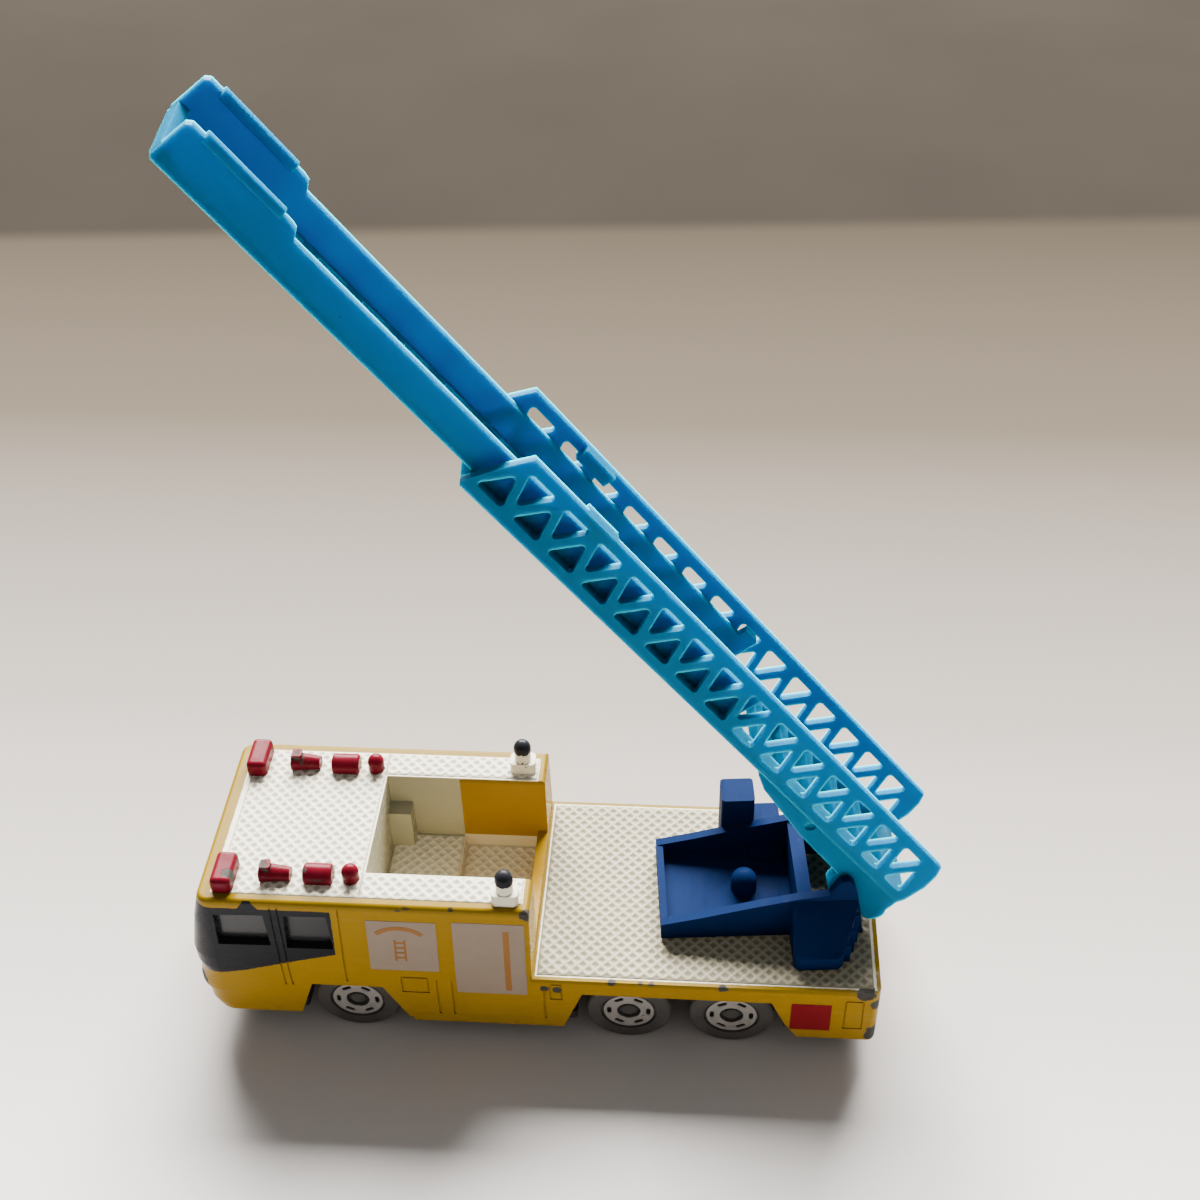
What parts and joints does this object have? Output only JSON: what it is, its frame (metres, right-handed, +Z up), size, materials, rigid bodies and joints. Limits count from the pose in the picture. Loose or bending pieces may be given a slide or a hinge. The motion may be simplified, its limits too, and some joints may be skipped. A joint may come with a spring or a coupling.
{
  "type": "toy ladder truck",
  "caption": "Pocket die-cast ladder fire truck with a turning turntable and a raised ladder that slides out to a basket.",
  "frame": {"origin": "on the ground, under the middle of the whole toy with its ladder raised as in the picture", "axes": "+X towards the cab's front, +Y towards the truck's left side, +Z up"},
  "size_m": [0.0844, 0.0268, 0.1103],
  "materials": {
    "yellow_paint": "gloss enamel on die-cast zinc",
    "black_plate": "satin black pressed plate",
    "rivet_metal": "bare metal",
    "axle_steel": "bare steel",
    "glazing": "smoked clear plastic",
    "interior_plastic": "moulded grey",
    "tyre_plastic": "black with a silver hub ring",
    "blue_plastic": "glossy royal blue",
    "ladder_plastic": "glossy light blue"
  },
  "bodies": {
    "truck": {"body_casting": "yellow_paint", "base_plate": "black_plate", "front_rivet": "rivet_metal", "rear_rivet": "rivet_metal", "window_glazing": "glazing", "cab_interior": "interior_plastic"},
    "front_wheels": {"front_axle": "axle_steel", "front_left_wheel": "tyre_plastic", "front_right_wheel": "tyre_plastic"},
    "middle_wheels": {"middle_axle": "axle_steel", "middle_left_wheel": "tyre_plastic", "middle_right_wheel": "tyre_plastic"},
    "rear_wheels": {"rear_axle": "axle_steel", "rear_left_wheel": "tyre_plastic", "rear_right_wheel": "tyre_plastic"},
    "turntable_unit": {"turntable": "blue_plastic", "turntable_peg": "blue_plastic"},
    "ladder_base": {"ladder_hinge_pin": "axle_steel", "ladder_cradle": "ladder_plastic", "lower_ladder_left_side": "ladder_plastic", "lower_ladder_right_side": "ladder_plastic", "lower_ladder_rungs": "ladder_plastic"},
    "ladder_top": {"upper_ladder_left_side": "ladder_plastic", "upper_ladder_right_side": "ladder_plastic", "upper_ladder_rungs": "ladder_plastic"}
  },
  "joints": [
    {"name": "turntable_turn", "type": "hinge", "parent": "truck", "child": "turntable_unit", "pos_m": [-0.0209, 0, 0.012], "axis": [0, 0, 1], "continuous": true},
    {"name": "ladder_raise", "type": "hinge", "parent": "turntable_unit", "child": "ladder_base", "pos_m": [-0.03146, -0.00092, 0.0196], "axis": [0.0872, -0.9962, 0], "range_deg": [-50, 12]},
    {"name": "ladder_extend", "type": "slide", "parent": "ladder_base", "child": "ladder_top", "axis": [0.5954, 0.0521, 0.8018], "range_m": [-0.03, 0.0235]},
    {"name": "front_axle_spin", "type": "hinge", "parent": "truck", "child": "front_wheels", "pos_m": [0.0236, 0, 0.0049], "axis": [0, 1, 0], "continuous": true},
    {"name": "middle_axle_spin", "type": "hinge", "parent": "truck", "child": "middle_wheels", "pos_m": [-0.008, 0, 0.0049], "axis": [0, 1, 0], "continuous": true},
    {"name": "rear_axle_spin", "type": "hinge", "parent": "truck", "child": "rear_wheels", "pos_m": [-0.0198, 0, 0.0049], "axis": [0, 1, 0], "continuous": true}
  ]
}
